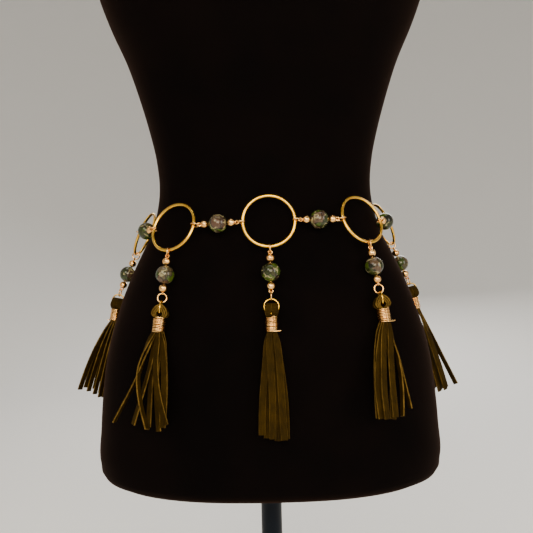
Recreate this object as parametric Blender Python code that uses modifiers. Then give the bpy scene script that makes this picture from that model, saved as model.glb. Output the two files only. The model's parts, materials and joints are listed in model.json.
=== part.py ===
# Beaded chain belt with leather tassels, worn on a limbless dress form on a short stand.
# Metres, +Z up. The origin is the middle of the underside of the stand's base.
# The front of the form faces -Y, and +X is to the viewer's right.

from math import atan2, cos, pi, radians, sin, sqrt

import bmesh
import bpy
from mathutils import Matrix, Vector

MM = 0.001
UP = Vector((0.0, 0.0, 1.0))

# Stand
BASE_RADIUS = 140 * MM
FLANGE_RADIUS = 45 * MM
FLANGE_HEIGHT = 5 * MM
FORM_BOTTOM = 222 * MM
SEAM_GAP = 0.3 * MM
STAND_SIDES = 26
# The stand's outline between the flange and the base's rim: radius, height (mm)
STAND_OUTLINE = (
    (16, 213.7),
    (11, 202.7),
    (11, 32),
    (16, 21),
    (27, 16),
    (116, 13),
    (134, 10),
)
BASE_EDGE = 6 * MM

# Dress form: each row is one horizontal section, as height above the form's underside, half width,
# half depth, how far the section's middle lies in front of the pole (mm), and its squareness.
FORM_SECTIONS = (
    # height, half_width, half_depth, forward, squareness
    (0.0, 150.0, 88, 0, 2.5),
    (2.5, 163.0, 99, 0, 2.5),
    (8.0, 170.5, 106, 0, 2.6),
    (20.0, 174.2, 109.5, 0, 2.6),
    (53.0, 173.4, 110, 0, 2.6),
    (90.0, 170.6, 108.5, 0, 2.6),
    (121.0, 166.8, 106, 0, 2.6),
    (147.0, 161.0, 102.5, 0, 2.6),
    (167.0, 155.0, 99, 0, 2.55),
    (188.0, 148.0, 95, 0, 2.5),
    (209.0, 139.2, 91, 0, 2.45),
    (229.0, 130.0, 87, 0, 2.35),
    (245.0, 122.2, 84, 0, 2.3),
    (263.0, 116.2, 81, 0, 2.3),
    (288.0, 111.5, 79, 0, 2.3),
    (326.0, 113.5, 81, 1, 2.3),
    (355.0, 119.5, 86, 3, 2.3),
    (388.0, 128.3, 94, 6, 2.3),
    (423.0, 139.6, 103, 10, 2.2),
    (459.0, 155.0, 109, 13, 2.2),
    (493.0, 167.0, 110, 13, 2.2),
    (528.0, 175.0, 104, 9, 2.2),
    (568.0, 181.0, 93, 3, 2.2),
    (605.0, 184.0, 81, -1, 2.2),
    (631.0, 178.0, 71, -3, 2.1),
    (649.0, 160.0, 64, -4, 2.0),
    (663.0, 126.0, 59, -4, 2.0),
    (674.0, 88.0, 55, -3, 2.0),
    (687.0, 62.0, 52, -2, 2.0),
    (705.0, 54.0, 50, 0, 2.0),
    (739.0, 51.0, 49, 3, 2.0),
    (746.0, 46.0, 44, 3, 2.0),
)
FORM_SIDES = 30

# Belt
BELT_HEIGHT = FORM_BOTTOM + 254 * MM
BELT_SLOPE = 0.022
BELT_SIDE_DROOP = 0.8 * MM
BELT_SHIFT = 2.4 * MM
BELT_HALF_WIDTH = 120 * MM
CHAIN_STANDOFF = 12.2 * MM
RING_RADIUS = 23.5 * MM
RING_WIRE = 1.5 * MM
RING_SIDES = 24
WIRE_SIDES = 5
# Degrees by which each ring's foot stands out from its top
RING_LEAN = {
    "front": 10.5,
    "left_1": 22,
    "right_1": 22,
    "left_2": 24,
    "right_2": 24,
    "left_3": 17,
    "right_3": 17,
}

# Pins: the small wire with an eye at each end that carries a jasper bead between two gold beads
PIN_LENGTH = 46.2 * MM
EYE_SIDES = 8
EYE_RADIUS = 3.65 * MM
EYE_WIRE = 0.6 * MM
WIRE_CLEARANCE = 0.35 * MM
JASPER_RADIUS = 8.5 * MM
JASPER_BORE = 0.95 * MM
GOLD_RADIUS = 3.7 * MM
BEAD_SIDES = 9
EYE_REACH = EYE_RADIUS - EYE_WIRE - RING_WIRE - WIRE_CLEARANCE
GOLD_OFFSET = JASPER_RADIUS + GOLD_RADIUS + SEAM_GAP

# Tassels
TASSEL_RING_RADIUS = 6.4 * MM
TASSEL_RING_WIRE = 0.6 * MM
TASSEL_EYE_REACH = EYE_RADIUS - EYE_WIRE - TASSEL_RING_WIRE - WIRE_CLEARANCE
WRAP_TOP = -8.4 * MM
WRAP_BOTTOM = -22.0 * MM
WRAP_INNER = 5.0 * MM
WRAP_OUTER = 5.8 * MM
WRAP_TAIL = 9 * MM
WRAP_TAIL_HEIGHT = WRAP_BOTTOM + 0.9 * MM
WRAP_EDGE = 0.5 * MM
STRAND_TOP = -22.6 * MM
LACE_WIDTH = 5.6 * MM
LACE_THICKNESS = 1.3 * MM
STRAND_STEPS = 3
STRAND_CLEARANCE = 0.8 * MM
STRAND_PUSH = 0.25 * MM
LAYER_PITCH = 1.9 * MM
CHANNEL_WIRE = TASSEL_RING_WIRE + 0.45 * MM

# A tassel's leather head, from its top down: height from the ring's middle, half width across
# the fold, half width along it (mm)
HEAD_SECTIONS = (
    (2.4, 4.2, 2.6),
    (1.2, 6.2, 4.2),
    (-2.4, 7.2, 5.2),
    (-5.8, 6.6, 5.2),
    (-8.3, 4.3, 4.3),
    (-25.5, 4.3, 4.3),
)

# A drop hangs as far in as this clearance to the form lets it, found in steps of so many degrees
HANG_REST = 0.5 * MM
HANG_STEP = 0.25
HANG_LIMIT = 60
FORM_SLANT = cos(radians(15))

# Where each of the 8 strands leaves the head: along the belt and outward (mm)
STRAND_ROOTS = (
    (-2.95, -3.2),
    (2.95, -3.2),
    (-3.0, -1.1),
    (3.0, -1.1),
    (-3.0, 1.1),
    (3.0, 1.1),
    (-2.95, 3.2),
    (2.95, 3.2),
)

# Where each strand ends: along the belt, outward, its sideways bow (mm), its turn (degrees) and
# its length from the tassel ring's middle (mm)
STRAND_ENDS = {
    "neat": (
        (-9.5, -3.4, 0.5, 4, 110),
        (8.5, -3.6, -0.5, -5, 111),
        (-6.0, -0.6, 0.8, 3, 112),
        (10.2, -0.8, 1.0, -3, 113),
        (-10.4, 2.2, -0.6, 6, 109),
        (3.0, 2.4, 0.4, 2, 114),
        (-1.4, 5.2, 0.3, -3, 112),
        (8.2, 5.6, 0.4, -6, 113),
    ),
    "loose": (
        (0.5, -1.0, -2.0, 10, 104),
        (14.0, -3.4, 0.5, -8, 105),
        (-12.0, 5.0, 4.0, 20, 103),
        (12.8, -0.4, -5.0, 10, 106),
        (-30.5, 9.0, 7.0, 35, 103),
        (19.0, 2.6, 2.0, -10, 102),
        (8.8, 10.0, -14.5, 45, 107),
        (25.0, 5.8, -9.5, 5, 103),
    ),
    "combed": (
        (-26.0, -2.6, -1.0, 5, 107),
        (14.0, -2.4, 1.0, -30, 100),
        (-22.0, 0.4, 1.5, 4, 108),
        (-12.5, 0.6, 3.5, 10, 105),
        (-28.5, 3.2, -3.0, 3, 107),
        (-4.0, 3.4, 6.0, 30, 104),
        (-24.5, 6.2, -1.5, 4, 108),
        (-15.0, 6.4, 0.8, 8, 107),
    ),
    "fanned": (
        (-7.0, 0.0, 0.0, 10, 107),
        (8.5, 0.2, 1.0, -8, 103),
        (-4.6, 4.0, 0.6, 12, 102),
        (4.8, 7.0, -0.5, -10, 102),
        (-9.0, 12.0, -0.6, 22, 100),
        (1.2, 15.0, 0.6, -14, 101),
        (-3.8, 20.0, -0.4, 18, 99),
        (7.8, 22.5, 0.8, -20, 99),
    ),
    "bowed": (
        (-8.0, 1.0, -1.0, 6, 114),
        (6.6, 0.5, 0.6, -6, 114),
        (-3.2, 3.6, 1.2, 8, 116),
        (9.4, 3.6, 0.8, -4, 115),
        (-8.8, 8.0, -0.8, 10, 114),
        (2.8, 8.4, 0.6, -3, 116),
        (-2.8, 12.0, -0.4, 6, 114),
        (5.6, 27.0, 9.0, -30, 116),
    ),
}
TASSEL_STYLE = {
    "front": "neat",
    "left_1": "loose",
    "right_1": "combed",
    "left_2": "fanned",
    "right_2": "bowed",
    "left_3": "neat",
    "right_3": "combed",
}
# A drop whose lower eye is turned shows that eye's round face, and its tassel ring edge on
TURNED_DROPS = ("left_1", "right_1", "left_2", "right_2", "left_3", "right_3")

# Clasp and extender chain at the back
CLASP_WIDTH = 11 * MM
CLASP_WIRE = 1.4 * MM
CLASP_HALF_WIDTH = CLASP_WIDTH / 2 - CLASP_WIRE
CLASP_HALF_LENGTH = 7.2 * MM
CLASP_EYE = 2.3 * MM
CLASP_MIDDLE = 2 * CLASP_EYE + CLASP_HALF_LENGTH + 1.4 * MM
CLASP_TAB = (2.6 * MM, 1.6 * MM, 4 * MM)
CLASP_TAB_PLACE = (CLASP_WIDTH / 2 + 0.6 * MM, 0, 2 * MM - CLASP_MIDDLE)
CHAIN_LINKS = 7
CHAIN_HALF_WIDTH = 2.8 * MM
CHAIN_WIRE = 0.7 * MM

POSITIONS = ("left_3", "left_2", "left_1", "front", "right_1", "right_2", "right_3")

GOLD = ("Gold wire", (0.86, 0.58, 0.20, 1), 0.22, 1.0)
BEAD_GOLD = ("Gold beads", (0.90, 0.60, 0.33, 1), 0.2, 1.0)
JASPER = ("Jasper", (0.06, 0.075, 0.03, 1), 0.2, 0.0)
LEATHER = ("Olive leather", (0.07, 0.045, 0.012, 1), 0.6, 0.0)
FORM_CLOTH = ("Black jersey", (0.006, 0.005, 0.006, 1), 0.85, 0.0)
STAND_METAL = ("Black stand metal", (0.01, 0.012, 0.018, 1), 0.35, 0.9)


# Scene, collections and materials

def clear_scene():
    for old in list(bpy.data.objects):
        bpy.data.objects.remove(old, do_unlink=True)


def new_collection(name):
    collection = bpy.data.collections.new(name)
    bpy.context.scene.collection.children.link(collection)
    return collection


def material(finish):
    name, colour, roughness, metallic = finish
    made = bpy.data.materials.get(name)
    if made is None:
        made = bpy.data.materials.new(name)
        made.use_nodes = True
        shader = made.node_tree.nodes["Principled BSDF"]
        shader.inputs["Base Color"].default_value = colour
        shader.inputs["Roughness"].default_value = roughness
        shader.inputs["Metallic"].default_value = metallic
        made.diffuse_color = colour
    return made


def place(name, mesh, finish, matrix=None, carrier=None):
    """One piece of the belt or the form, from a mesh in its own frame. It moves with its carrier."""
    piece = bpy.data.objects.new(name, mesh)
    BELT.objects.link(piece)
    if not mesh.materials:
        mesh.materials.append(material(finish))
    if matrix is not None:
        piece.matrix_basis = matrix
    if carrier is not None:
        piece.parent = carrier
        piece.matrix_parent_inverse = carrier.matrix_basis.inverted()
    return piece


def helper(name, mesh, matrix=None):
    """A shape that only serves to make another one."""
    piece = bpy.data.objects.new(name, mesh)
    CUTTERS.objects.link(piece)
    piece.hide_render = True
    piece.display_type = "WIRE"
    if matrix is not None:
        piece.matrix_world = matrix
    return piece


# Mesh helpers

def baked(piece):
    """The evaluated mesh of a helper, which is then removed."""
    bpy.context.view_layer.update()
    graph = bpy.context.evaluated_depsgraph_get()
    mesh = bpy.data.meshes.new_from_object(piece.evaluated_get(graph))
    matrix = piece.matrix_world.copy()
    bpy.data.objects.remove(piece, do_unlink=True)
    work = bmesh.new()
    work.from_mesh(mesh)
    bmesh.ops.remove_doubles(work, verts=work.verts, dist=0.00001)
    bmesh.ops.transform(work, matrix=matrix, verts=work.verts)
    work.to_mesh(mesh)
    work.free()
    return mesh


def shaded(mesh, angle=40):
    mesh.shade_smooth()
    mesh.set_sharp_from_angle(angle=radians(angle))
    return mesh


def turned(name, profile, sides):
    """A solid of revolution about Z from (radius, height) points, top to bottom down the outside."""
    work = bmesh.new()
    points = [work.verts.new((radius, 0.0, height)) for radius, height in profile]
    for above, below in zip(points, points[1:]):
        work.edges.new((above, below))
    if profile[0][0] > 0.0:
        work.edges.new((points[-1], points[0]))
    mesh = bpy.data.meshes.new(name)
    work.to_mesh(mesh)
    work.free()
    piece = helper(name, mesh)
    screw = piece.modifiers.new("Turn", "SCREW")
    screw.steps = sides
    screw.render_steps = sides
    screw.use_merge_vertices = True
    screw.merge_threshold = 0.00001
    return baked(piece)


def torus(name, radius, wire, sides, wire_sides, axis="Z"):
    """A wire ring about the given axis, with its middle at the origin."""
    bpy.ops.mesh.primitive_torus_add(
        major_radius=radius, minor_radius=wire, major_segments=sides, minor_segments=wire_sides
    )
    made = bpy.context.active_object
    mesh = made.data
    bpy.data.objects.remove(made, do_unlink=True)
    mesh.name = name
    turn = {"X": Matrix.Rotation(pi / 2, 4, "Y"), "Y": Matrix.Rotation(pi / 2, 4, "X"), "Z": Matrix()}
    mesh.transform(turn[axis])
    return mesh


def lofted(name, loops):
    """A closed solid through loops of equally many points, with a flat cap at each end."""
    work = bmesh.new()
    rows = [[work.verts.new(point) for point in loop] for loop in loops]
    for lower, upper in zip(rows, rows[1:]):
        for i in range(len(lower)):
            j = (i + 1) % len(lower)
            work.faces.new((lower[i], lower[j], upper[j], upper[i]))
    work.faces.new(list(reversed(rows[0])))
    work.faces.new(rows[-1])
    bmesh.ops.recalc_face_normals(work, faces=work.faces)
    mesh = bpy.data.meshes.new(name)
    work.to_mesh(mesh)
    work.free()
    return mesh


def combined(name, first, others, operation="UNION"):
    """The first mesh joined with, or cut by, the others."""
    body = helper(name, first)
    tools = [helper(name + "_tool", other) for other in others]
    for tool in tools:
        modifier = body.modifiers.new(operation, "BOOLEAN")
        modifier.operation = operation
        modifier.object = tool
    mesh = baked(body)
    for tool in tools:
        bpy.data.objects.remove(tool, do_unlink=True)
    return mesh


def frame(x_axis, y_axis, z_axis, origin):
    matrix = Matrix((x_axis, y_axis, z_axis)).transposed().to_4x4()
    matrix.translation = origin
    return matrix


# Dress form

def blend_rows(rows, at):
    """A smooth curve through the table's rows, read at one height: the values after the height."""
    heights = [row[0] for row in rows]
    at = min(max(at, heights[0]), heights[-1])
    i = max(k for k in range(len(rows) - 1) if heights[k] <= at)
    before, after = rows[max(i - 1, 0)], rows[min(i + 2, len(rows) - 1)]
    low, high = rows[i], rows[i + 1]
    span = high[0] - low[0]
    t = (at - low[0]) / span
    values = []
    for column in range(1, len(low)):
        slope_low = (high[column] - before[column]) / (high[0] - before[0]) * span
        slope_high = (after[column] - low[column]) / (after[0] - low[0]) * span
        values.append(
            (2 * t**3 - 3 * t**2 + 1) * low[column]
            + (t**3 - 2 * t**2 + t) * slope_low
            + (3 * t**2 - 2 * t**3) * high[column]
            + (t**3 - t**2) * slope_high
        )
    return values


def section_point(half_width, half_depth, squareness, angle):
    """A point of a superellipse. Angle 0 is the front, and it grows towards the viewer's right."""
    across, deep = sin(angle), -cos(angle)
    x = half_width * (abs(across) ** (2 / squareness)) * (1 if across >= 0 else -1)
    y = half_depth * (abs(deep) ** (2 / squareness)) * (1 if deep >= 0 else -1)
    return x, y


def form_point(angle, z, standoff=0.0):
    half_width, half_depth, forward, squareness = blend_rows(FORM_SECTIONS, (z - FORM_BOTTOM) / MM)
    x, y = section_point(half_width * MM + standoff, half_depth * MM + standoff, squareness, angle)
    return Vector((x, y - forward * MM, z))


def form_clearance(point):
    """About how far a point lies outside the form, across its section."""
    half_width, half_depth, forward, squareness = blend_rows(
        FORM_SECTIONS, (point.z - FORM_BOTTOM) / MM
    )
    x, y = abs(point.x) / (half_width * MM), abs(point.y + forward * MM) / (half_depth * MM)
    level = (x**squareness + y**squareness) ** (1 / squareness)
    grown = level ** (1 - squareness)
    slope_x = x ** (squareness - 1) / (half_width * MM) * grown
    slope_y = y ** (squareness - 1) / (half_depth * MM) * grown
    return (level - 1) / sqrt(slope_x**2 + slope_y**2)


def build_form():
    loops = []
    for row in FORM_SECTIONS:
        z = FORM_BOTTOM + row[0] * MM
        loops.append([form_point(2 * pi * i / FORM_SIDES, z) for i in range(FORM_SIDES)])
    place("dress_form", shaded(lofted("dress_form", loops), 60), FORM_CLOTH)


def build_stand():
    top = FORM_BOTTOM - SEAM_GAP
    profile = [(0.0, top), (FLANGE_RADIUS, top), (FLANGE_RADIUS, top - FLANGE_HEIGHT)]
    profile += [(radius * MM, height * MM) for radius, height in STAND_OUTLINE]
    profile += [(BASE_RADIUS, BASE_EDGE), (BASE_RADIUS, 0.0), (0.0, 0.0)]
    place("stand", shaded(turned("stand", profile, STAND_SIDES)), STAND_METAL)


# The chain's route round the form

def belt_point(angle):
    """A point of the line that the chain follows, at a given angle round the form."""
    point = form_point(angle, BELT_HEIGHT, CHAIN_STANDOFF)
    for _ in range(2):
        across = point.x / BELT_HALF_WIDTH
        z = BELT_HEIGHT + BELT_SLOPE * point.x - BELT_SIDE_DROOP * across**2
        point = form_point(angle, z, CHAIN_STANDOFF)
    return point


def step_along(angle, chord, way):
    """The angle of the point that lies one chord further along the belt."""
    start = belt_point(angle)
    near, far = 0.0, pi / 2
    for _ in range(40):
        middle = (near + far) / 2
        if (belt_point(angle + way * middle) - start).length < chord:
            near = middle
        else:
            far = middle
    return angle + way * near


def chain_route():
    """The two ends of each ring and link, left one first, and the angles of the chain's own two ends."""
    ring_width = 2 * RING_RADIUS
    left_end = -step_along(0.0, ring_width / 2, 1) + BELT_SHIFT / BELT_HALF_WIDTH
    right_end = step_along(left_end, ring_width, 1)
    rings = {"front": (belt_point(left_end), belt_point(right_end))}
    links = {}
    closing = {}
    for side, angle, way in (("right", right_end, 1), ("left", left_end, -1)):
        for step in (1, 2, 3):
            start = step_along(angle, PIN_LENGTH, way)
            end = step_along(start, ring_width, way)
            pair = (belt_point(angle), belt_point(start))
            ring = (belt_point(start), belt_point(end))
            links[f"{side}_{step}"] = pair if way > 0 else pair[::-1]
            rings[f"{side}_{step}"] = ring if way > 0 else ring[::-1]
            angle = end
        closing[side] = angle
    start = closing["right"]
    closing["right"] = step_along(start, PIN_LENGTH, 1)
    links["back"] = (belt_point(start), belt_point(closing["right"]))
    return rings, links, closing


def ring_frame(ends, lean):
    """Middle, direction along the belt, outward normal and downward direction of a ring."""
    left, right = ends
    along = (right - left).normalized()
    outward = along.cross(UP).normalized()
    rise = outward.cross(along).normalized()
    if rise.z < 0:
        rise = -rise
    tilt = radians(lean)
    normal = cos(tilt) * outward + sin(tilt) * rise
    down = sin(tilt) * outward - cos(tilt) * rise
    return (left + right) / 2, along, normal, down, outward


# Pins and beads

def ball_profile(radius, middle, start_radius, points=3):
    """Points down a bead's outer side, from where it leaves its pin to where it meets it again."""
    reach = atan2(sqrt(radius**2 - start_radius**2), start_radius)
    profile = []
    for i in range(points + 2):
        angle = reach - 2 * reach * i / (points + 1)
        profile.append((radius * cos(angle), middle + radius * sin(angle)))
    return profile


def pin_mesh(name, far_eye_axis):
    """A pin hanging down from the ring wire at its origin: eye, gold bead, shaft, gold bead, eye."""
    near_eye = -EYE_REACH
    far_eye = -PIN_LENGTH + EYE_REACH
    middle = -PIN_LENGTH / 2
    top = near_eye - EYE_RADIUS
    bottom = far_eye + EYE_RADIUS
    profile = [(0.0, top), (EYE_WIRE, top)]
    profile += ball_profile(GOLD_RADIUS, middle + GOLD_OFFSET, EYE_WIRE)
    profile += ball_profile(GOLD_RADIUS, middle - GOLD_OFFSET, EYE_WIRE)
    profile += [(EYE_WIRE, bottom), (0.0, bottom)]
    shaft = turned(name, profile, BEAD_SIDES - 2)
    near = torus(name, EYE_RADIUS, EYE_WIRE, EYE_SIDES, 4, "X")
    near.transform(Matrix.Translation((0, 0, near_eye)))
    far = torus(name, EYE_RADIUS, EYE_WIRE, EYE_SIDES, 4, far_eye_axis)
    far.transform(Matrix.Translation((0, 0, far_eye)))
    return shaded(combined(name, shaft, (near, far)))


def jasper_mesh():
    outer = ball_profile(JASPER_RADIUS, 0.0, JASPER_BORE + 0.6 * MM, 4)
    top, bottom = outer[0][1], outer[-1][1]
    profile = [(JASPER_BORE, top)] + outer + [(JASPER_BORE, bottom)]
    return shaded(turned("jasper", profile, BEAD_SIDES))


# Tassels

def oval(half_u, half_v, z, sides=8):
    points = []
    for i in range(sides):
        x, y = section_point(half_u, half_v, 2, 2 * pi * (i + 0.5) / sides)
        points.append(Vector((x, y, z)))
    return points


def strand_path(root, end, bow, length):
    """Points of one strand's middle line, in the tassel's frame."""
    points = []
    for i in range(STRAND_STEPS + 1):
        s = i / STRAND_STEPS
        spread = s * (2 - s) * 0.45 + s * 0.55
        u = root[0] + (end[0] - root[0]) * spread + bow * sin(pi * s)
        v = root[1] + (end[1] - root[1]) * spread
        points.append(Vector((u * MM, -v * MM, STRAND_TOP + (-length * MM - STRAND_TOP) * s)))
    return points


def lace_clearance(point, tassel):
    """How far a strand's inner face lies outside the form, at the worse of its two edges."""
    edges = [point + Vector((way * LACE_WIDTH / 2, LACE_THICKNESS, 0)) for way in (-1, 1)]
    return min(form_clearance(tassel @ edge) for edge in edges) * FORM_SLANT


def settle_strands(paths, tassel):
    """Moves strand points outward, the innermost strands first, until all clear the form and each other."""
    for first in (0, 1):
        inner = None
        for path in paths[first::2]:
            for i, point in enumerate(path):
                while i > 0 and lace_clearance(point, tassel) < STRAND_CLEARANCE:
                    point.y -= STRAND_PUSH
                if i > 0 and inner and abs(point.x - inner[i].x) < LACE_WIDTH:
                    point.y = min(point.y, inner[i].y - LAYER_PITCH)
            inner = path


def strand_mesh(path, turn):
    """A flat lace of four sides along its path, which turns as it falls."""
    loops = []
    for i, point in enumerate(path):
        angle = radians(turn) * i / STRAND_STEPS
        width = Vector((cos(angle), sin(angle), 0)) * LACE_WIDTH / 2
        depth = Vector((-sin(angle), cos(angle), 0)) * LACE_THICKNESS / 2
        low, high = point - depth, point + depth
        loops.append([low - width, low + width, high + width, high - width])
    return lofted("strand", loops)


def tassel_mesh(style, turned_ring, tassel):
    """A leather head folded over its ring, with eight strands below. X runs along the belt, Y inward."""
    loops = []
    for z, across, along in HEAD_SECTIONS:
        half_x, half_y = (across, along) if turned_ring else (along, across)
        loops.append(oval(half_x * MM, half_y * MM, z * MM))
    head = lofted("tassel_head", loops)
    channel = torus(
        "channel", TASSEL_RING_RADIUS, CHANNEL_WIRE, 12, 5, "X" if turned_ring else "Y"
    )
    head = combined("tassel_head", head, (channel,), "DIFFERENCE")
    rows = STRAND_ENDS[style]
    paths = [strand_path(root, row[:2], row[2], row[4]) for root, row in zip(STRAND_ROOTS, rows)]
    settle_strands(paths, tassel)
    strands = [strand_mesh(path, row[3]) for path, row in zip(paths, rows)]
    return combined("tassel", head, strands)


def wrap_mesh():
    """The wire binding as a sleeve, with the cut end of its wire standing out."""
    profile = (
        (WRAP_INNER, WRAP_TOP),
        (WRAP_OUTER - WRAP_EDGE, WRAP_TOP),
        (WRAP_OUTER, WRAP_TOP - WRAP_EDGE),
        (WRAP_OUTER, WRAP_BOTTOM + WRAP_EDGE),
        (WRAP_OUTER - WRAP_EDGE, WRAP_BOTTOM),
        (WRAP_INNER, WRAP_BOTTOM),
    )
    sleeve = turned("wrap", profile, 10)
    bpy.ops.mesh.primitive_cylinder_add(vertices=6, radius=EYE_WIRE, depth=WRAP_TAIL)
    made = bpy.context.active_object
    tail = made.data
    bpy.data.objects.remove(made, do_unlink=True)
    tail.transform(Matrix.Rotation(pi / 2, 4, "Y"))
    tail.transform(Matrix.Translation((WRAP_TAIL / 2, -(WRAP_INNER + WRAP_OUTER) / 2, WRAP_TAIL_HEIGHT)))
    return shaded(combined("wrap", sleeve, (tail,)))


# Hanging a drop against the form

def tilted(outward, tilt):
    return sin(radians(tilt)) * outward - cos(radians(tilt)) * UP


def hang(origin, outward, samples, tilt=0.0):
    """The smallest outward tilt at which each (distance down, radius) of a hanging line clears the form."""
    while tilt < HANG_LIMIT:
        down = tilted(outward, tilt)
        spans = [
            form_clearance(origin + distance * down) * FORM_SLANT - radius for distance, radius in samples
        ]
        if min(spans) > 0:
            break
        tilt += HANG_STEP
    return tilt


def hang_drop(hinge, outward, pin_samples, tassel_samples):
    """Tilts of a pin and of the tassel below it: the tassel hangs no further out than its pin."""
    pin_tilt = hang(hinge, outward, pin_samples)
    while True:
        ring_top = hinge + (PIN_LENGTH - EYE_REACH + TASSEL_EYE_REACH) * tilted(outward, pin_tilt)
        tassel_tilt = hang(ring_top, outward, tassel_samples)
        if tassel_tilt <= pin_tilt:
            return pin_tilt, tassel_tilt, ring_top
        pin_tilt += HANG_STEP


def hanging_frame(along, down, origin):
    """A frame whose Z runs up a hanging piece, X along the belt and Y towards the form."""
    front = (-down).cross(along).normalized()
    side = front.cross(-down).normalized()
    return frame(side, front, -down, origin)


def build_ring(position, ends, lean):
    middle, along, normal, down, outward = ring_frame(ends, lean)
    place(f"ring_{position}", MESHES["ring"], GOLD, frame(along, -down, normal, middle))
    return middle + RING_RADIUS * down, along, outward


def build_drop(position, hinge, along, outward):
    """Pin, beads and tassel that hang from the foot of one ring, where the pin's origin is their hinge."""
    turned_ring = position in TURNED_DROPS
    middle = PIN_LENGTH / 2
    pin_samples = (
        (middle - GOLD_OFFSET, GOLD_RADIUS + HANG_REST),
        (middle, JASPER_RADIUS + HANG_REST),
        (middle + GOLD_OFFSET, GOLD_RADIUS + HANG_REST),
        (PIN_LENGTH - EYE_REACH, EYE_RADIUS + EYE_WIRE + HANG_REST),
    )
    tassel_samples = [
        (TASSEL_RING_RADIUS - z * MM, max(across, along_fold) * MM + HANG_REST)
        for z, across, along_fold in HEAD_SECTIONS[1:]
    ]
    tassel_samples.append((TASSEL_RING_RADIUS - WRAP_TOP, WRAP_OUTER + HANG_REST))
    tassel_samples.append((TASSEL_RING_RADIUS - WRAP_BOTTOM, WRAP_OUTER + HANG_REST))
    style = STRAND_ENDS[TASSEL_STYLE[position]]
    deepest = -min(v for _, v, _, _, _ in style) * MM
    longest = max(length for _, _, _, _, length in style) * MM
    for share in (0.4, 0.6, 0.8, 1.0):
        reach = TASSEL_RING_RADIUS - STRAND_TOP + share * (longest + STRAND_TOP)
        tassel_samples.append((reach, deepest + LACE_THICKNESS + STRAND_CLEARANCE + HANG_REST))
    pin_tilt, tassel_tilt, ring_top = hang_drop(hinge, outward, pin_samples, tassel_samples)
    pin = hanging_frame(along, tilted(outward, pin_tilt), hinge)
    key = "turned_pin" if turned_ring else "straight_pin"
    carrier = place(f"drop_pin_{position}", MESHES[key], BEAD_GOLD, pin)
    bead = pin @ Matrix.Translation((0, 0, -middle))
    place(f"drop_jasper_{position}", MESHES["jasper"], JASPER, bead, carrier)
    tassel_down = tilted(outward, tassel_tilt)
    tassel = hanging_frame(along, tassel_down, ring_top + TASSEL_RING_RADIUS * tassel_down)
    facing = Matrix.Rotation(pi / 2, 4, "Y" if turned_ring else "X")
    place(f"tassel_ring_{position}", MESHES["tassel_ring"], GOLD, tassel @ facing, carrier)
    place(f"tassel_wire_{position}", MESHES["wrap"], BEAD_GOLD, tassel, carrier)
    leather = tassel_mesh(TASSEL_STYLE[position], turned_ring, tassel)
    place(f"tassel_{position}", leather, LEATHER, tassel, carrier)


def build_link(name, ends, down):
    left, right = ends
    run = (right - left).normalized()
    side = (down - down.dot(run) * run).normalized()
    front = (-run).cross(side).normalized()
    pin = frame(side, front, -run, left)
    place(f"link_pin_{name}", MESHES["straight_pin"], BEAD_GOLD, pin)
    jasper = pin @ Matrix.Translation((0, 0, -PIN_LENGTH / 2))
    place(f"link_jasper_{name}", MESHES["jasper"], JASPER, jasper)


def oval_wire(name, half_length, half_width, wire, axis, middle, sides=8):
    """A wire loop drawn out along Z, in the plane across the given axis."""
    link = torus(name, half_width, wire, sides, sides // 2, axis)
    stretch = half_length - half_width
    for vertex in link.vertices:
        vertex.co.z += middle + (stretch if vertex.co.z > 0 else -stretch)
    return link


def clasp_mesh():
    """A closed lobster clasp along -Z: a small base eye, a pear-shaped loop and its lever's thumb tab."""
    eye = torus("clasp_eye", CLASP_EYE, CHAIN_WIRE, EYE_SIDES, 4, "Y")
    eye.transform(Matrix.Translation((0, 0, -CLASP_EYE)))
    loop = oval_wire("loop", CLASP_HALF_LENGTH, CLASP_HALF_WIDTH, CLASP_WIRE, "Y", -CLASP_MIDDLE, 12)
    bpy.ops.mesh.primitive_cube_add(size=1)
    made = bpy.context.active_object
    tab = made.data
    bpy.data.objects.remove(made, do_unlink=True)
    tab.transform(Matrix.Diagonal((*CLASP_TAB, 1)))
    tab.transform(Matrix.Translation(CLASP_TAB_PLACE))
    return shaded(combined("clasp", eye, (loop, tab)))


def chain_mesh(length, first_wire, last_wire):
    """Oval links in line along -Z. The first holds the wire at the origin, the last the one at -length."""
    first = CHAIN_WIRE + first_wire + WIRE_CLEARANCE
    last = CHAIN_WIRE + last_wire + WIRE_CLEARANCE
    overlap = 2 * CHAIN_WIRE - 0.3 * MM
    half = (length + first + last + overlap * (CHAIN_LINKS - 1)) / (2 * CHAIN_LINKS)
    links = []
    for i in range(CHAIN_LINKS):
        middle = -(half - first) - i * (2 * half - overlap)
        axis = "XY"[i % 2]
        links.append(oval_wire("chain", half, CHAIN_HALF_WIDTH, CHAIN_WIRE, axis, middle))
    return shaded(combined("chain", links[0], links[1:]))


def build_closure(start, end, start_down):
    """The lobster clasp and the extender chain that close the belt between its two back ends."""
    run = (end - start).normalized()
    side = (start_down - start_down.dot(run) * run).normalized()
    front = (-run).cross(side).normalized()
    slack = TASSEL_EYE_REACH - EYE_REACH - (CHAIN_WIRE - TASSEL_RING_WIRE)
    clasp_start = start + slack * run
    place("lobster_clasp", clasp_mesh(), GOLD, frame(side, front, -run, clasp_start))
    held = clasp_start + (CLASP_MIDDLE + CLASP_HALF_LENGTH) * run
    chain = chain_mesh((end - held).length, CLASP_WIRE, RING_WIRE)
    place("extender_chain", chain, GOLD, frame(side, front, -run, held))


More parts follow.
